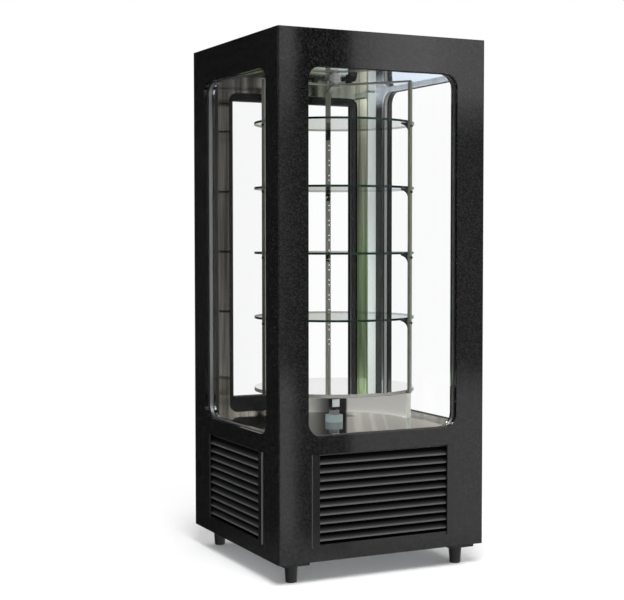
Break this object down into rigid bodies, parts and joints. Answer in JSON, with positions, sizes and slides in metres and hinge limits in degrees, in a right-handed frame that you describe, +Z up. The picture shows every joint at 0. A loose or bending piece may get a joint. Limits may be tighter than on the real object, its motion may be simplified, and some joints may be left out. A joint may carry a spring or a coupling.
{
  "type": "rotating refrigerated display case",
  "caption": "Tall glazed refrigerated display case with a rotating carousel of round glass shelves, a rear service door and a louvred machine compartment.",
  "frame": {"origin": "centre of the footprint on the floor", "axes": "+X to the right seen from the front, -Y towards the front, +Y towards the service door, +Z up"},
  "size_m": [0.81, 0.79, 1.865],
  "materials": {
    "case_paint": "satin black powder coat with a fine speckle",
    "louvre_paint": "satin black",
    "polished_lining": "mirror polished stainless steel",
    "window_glass": "clear double glazing",
    "shelf_glass": "clear float glass with dark green edges",
    "zinc_steel": "zinc-coated sheet",
    "insulation": "rigid foam core",
    "foot_black": "black moulded",
    "lamp_cover": "white diffuser",
    "machined_steel": "machined",
    "black_plastic": "black moulded",
    "pedestal_grey": "grey-green moulded",
    "motor_grey": "grey painted",
    "baffle_grey": "light grey coated sheet",
    "coil_aluminium": "plain fins",
    "compressor_paint": "gloss black",
    "rubber_black": "black",
    "copper": "drawn copper",
    "post_steel": "satin tube",
    "bracket_black": "satin black",
    "door_black": "gloss black",
    "fan_plastic": "dark grey moulded",
    "switch_black": "black moulded"
  },
  "bodies": {
    "cabinet": {"front_panel": "case_paint", "left_panel": "case_paint", "right_panel": "case_paint", "back_panel": "case_paint", "top_panel": "case_paint", "base_tray": "zinc_steel", "corner_posts": "insulation", "floor_deck": "insulation", "ceiling_deck": "insulation", "floor_tray": "polished_lining", "ceiling_lining": "polished_lining", "lining_frames": "polished_lining", "glazing_rings": "polished_lining", "front_glass": "window_glass", "left_glass": "window_glass", "right_glass": "window_glass", "front_louvre": "louvre_paint", "left_louvre": "louvre_paint", "right_louvre": "louvre_paint", "back_louvre": "louvre_paint", "feet": "foot_black", "foot_plates": "foot_black", "lamp_strips": "lamp_cover", "ceiling_bearing": "machined_steel", "ceiling_probe": "black_plastic", "pedestal": "pedestal_grey", "gearmotor": "motor_grey", "air_baffle": "baffle_grey", "evaporator_tub": "insulation", "evaporator_coil": "coil_aluminium", "evaporator_fan_motor": "motor_grey", "compressor": "compressor_paint", "compressor_feet": "rubber_black", "condenser_coil": "coil_aluminium", "fan_shroud": "zinc_steel", "condenser_fan_motor": "motor_grey", "filter_drier": "copper", "refrigerant_pipes": "copper", "drain_pan": "black_plastic", "electrical_box": "zinc_steel", "control_plate": "black_plastic", "cord_gland": "black_plastic", "hinge_brackets": "machined_steel"},
    "carousel": {"carousel_posts": "post_steel", "top_spider": "post_steel", "drive_shaft": "machined_steel", "turntable_plate": "polished_lining", "shelf_brackets": "bracket_black", "glass_shelf_1": "shelf_glass", "glass_shelf_2": "shelf_glass", "glass_shelf_3": "shelf_glass", "glass_shelf_4": "shelf_glass"},
    "door": {"door_frame": "door_black", "door_glass": "window_glass", "door_gasket": "rubber_black"},
    "condenser_fan": {"condenser_fan": "fan_plastic"},
    "evaporator_fan": {"evaporator_fan": "fan_plastic"},
    "lamp_switch": {"lamp_switch": "switch_black"},
    "rotation_switch": {"rotation_switch": "switch_black"}
  },
  "joints": [
    {"name": "carousel_spin", "type": "hinge", "parent": "cabinet", "child": "carousel", "pos_m": [0, 0, 0.6], "axis": [0, 0, 1], "continuous": true},
    {"name": "door_swing", "type": "hinge", "parent": "cabinet", "child": "door", "pos_m": [-0.308, 0.38, 1.12], "axis": [0, 0, 1], "range_deg": [0, 110]},
    {"name": "condenser_fan_spin", "type": "hinge", "parent": "cabinet", "child": "condenser_fan", "pos_m": [-0.095, -0.262, 0.2025], "axis": [0, 1, 0], "continuous": true},
    {"name": "evaporator_fan_spin", "type": "hinge", "parent": "cabinet", "child": "evaporator_fan", "pos_m": [0.279, 0.272, 0.415], "axis": [0, 0, 1], "continuous": true},
    {"name": "lamp_switch_rock", "type": "hinge", "parent": "cabinet", "child": "lamp_switch", "pos_m": [0.095, 0.387, 0.404], "axis": [-1, 0, 0], "range_deg": [0, 16]},
    {"name": "rotation_switch_rock", "type": "hinge", "parent": "cabinet", "child": "rotation_switch", "pos_m": [0.06, 0.387, 0.404], "axis": [-1, 0, 0], "range_deg": [0, 16]}
  ]
}
